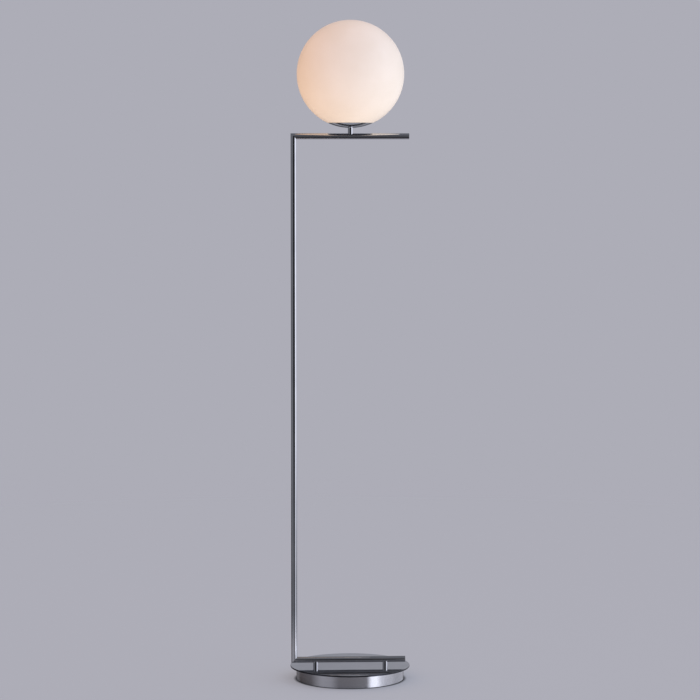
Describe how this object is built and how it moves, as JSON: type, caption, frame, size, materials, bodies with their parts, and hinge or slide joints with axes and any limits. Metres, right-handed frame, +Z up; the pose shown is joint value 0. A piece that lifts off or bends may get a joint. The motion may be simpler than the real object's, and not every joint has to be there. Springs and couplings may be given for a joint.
{
  "type": "globe floor lamp",
  "caption": "Floor lamp: an opal glass globe on a chrome tube frame with an upright at one side, standing on a round mirror-plated base with a drum under it.",
  "frame": {"origin": "centre of the round base at floor level", "axes": "+Z up; +X along the two level tubes towards their free ends, with the upright at -X; +Y is the back, where the cord inlet is. The tubes, the stem and the globe stand in the plane Y = -20 mm, in front of the middle of the base"},
  "size_m": [0.282, 0.286, 1.5493],
  "materials": {
    "chrome": "polished chrome plate",
    "opal_glass": "satin opal",
    "bulb_glass": "frosted white",
    "cast_iron": "as cast",
    "zinc_steel": "zinc plated",
    "brass": "bright",
    "foam_pad": "closed-cell foam",
    "black_rubber": "moulded",
    "silicone": "translucent silicone",
    "white_plastic": "moulded",
    "porcelain": "glazed",
    "bulb_metal": "nickel plated",
    "black_glass": "glossy black"
  },
  "bodies": {
    "lamp": {"base_plate": "chrome", "base_drum": "chrome", "lower_tube": "chrome", "pole_tube": "chrome", "upper_tube": "chrome", "lower_end_cap": "chrome", "upper_end_cap": "chrome", "foot_left": "chrome", "foot_right": "chrome", "stem_tube": "chrome", "holder_dish": "chrome", "gallery": "chrome", "base_weight": "cast_iron", "bottom_cover": "zinc_steel", "cover_screws": "zinc_steel", "weld_bosses": "zinc_steel", "foot_washers": "zinc_steel", "foot_nuts": "zinc_steel", "foot_nipple_left": "zinc_steel", "foot_nipple_right": "zinc_steel", "head_nipple": "zinc_steel", "head_washer": "zinc_steel", "head_nut": "zinc_steel", "block_screws": "brass", "screw_shell": "brass", "centre_contact": "brass", "holder_terminals": "brass", "floor_pad": "foam_pad", "cord_inlet_bush": "black_rubber", "internal_lead": "black_rubber", "globe_gasket": "silicone", "terminal_block": "white_plastic", "lampholder_cap": "white_plastic", "lampholder_skirt": "white_plastic", "lampholder_core": "porcelain"},
    "globe": {"globe_glass": "opal_glass"},
    "bulb_screw": {"bulb_tip": "brass"},
    "bulb": {"bulb_cap": "bulb_metal", "bulb_insulator": "black_glass", "bulb_glass": "bulb_glass"}
  },
  "joints": [
    {"name": "globe_lift", "type": "slide", "parent": "lamp", "child": "globe", "axis": [0, 0, 1], "range_m": [0, 0.165]},
    {"name": "bulb_rise", "type": "slide", "parent": "lamp", "child": "bulb_screw", "axis": [0, 0, 1], "range_m": [0, 0.0218]},
    {"name": "bulb_turn", "type": "hinge", "parent": "bulb_screw", "child": "bulb", "pos_m": [0, -0.02, 1.36], "axis": [0, 0, 1], "range_deg": [0, 2160]}
  ],
  "couplings": [
    {"joint": "bulb_rise", "follows": "bulb_turn", "m_per_rad": 0.00057757}
  ]
}
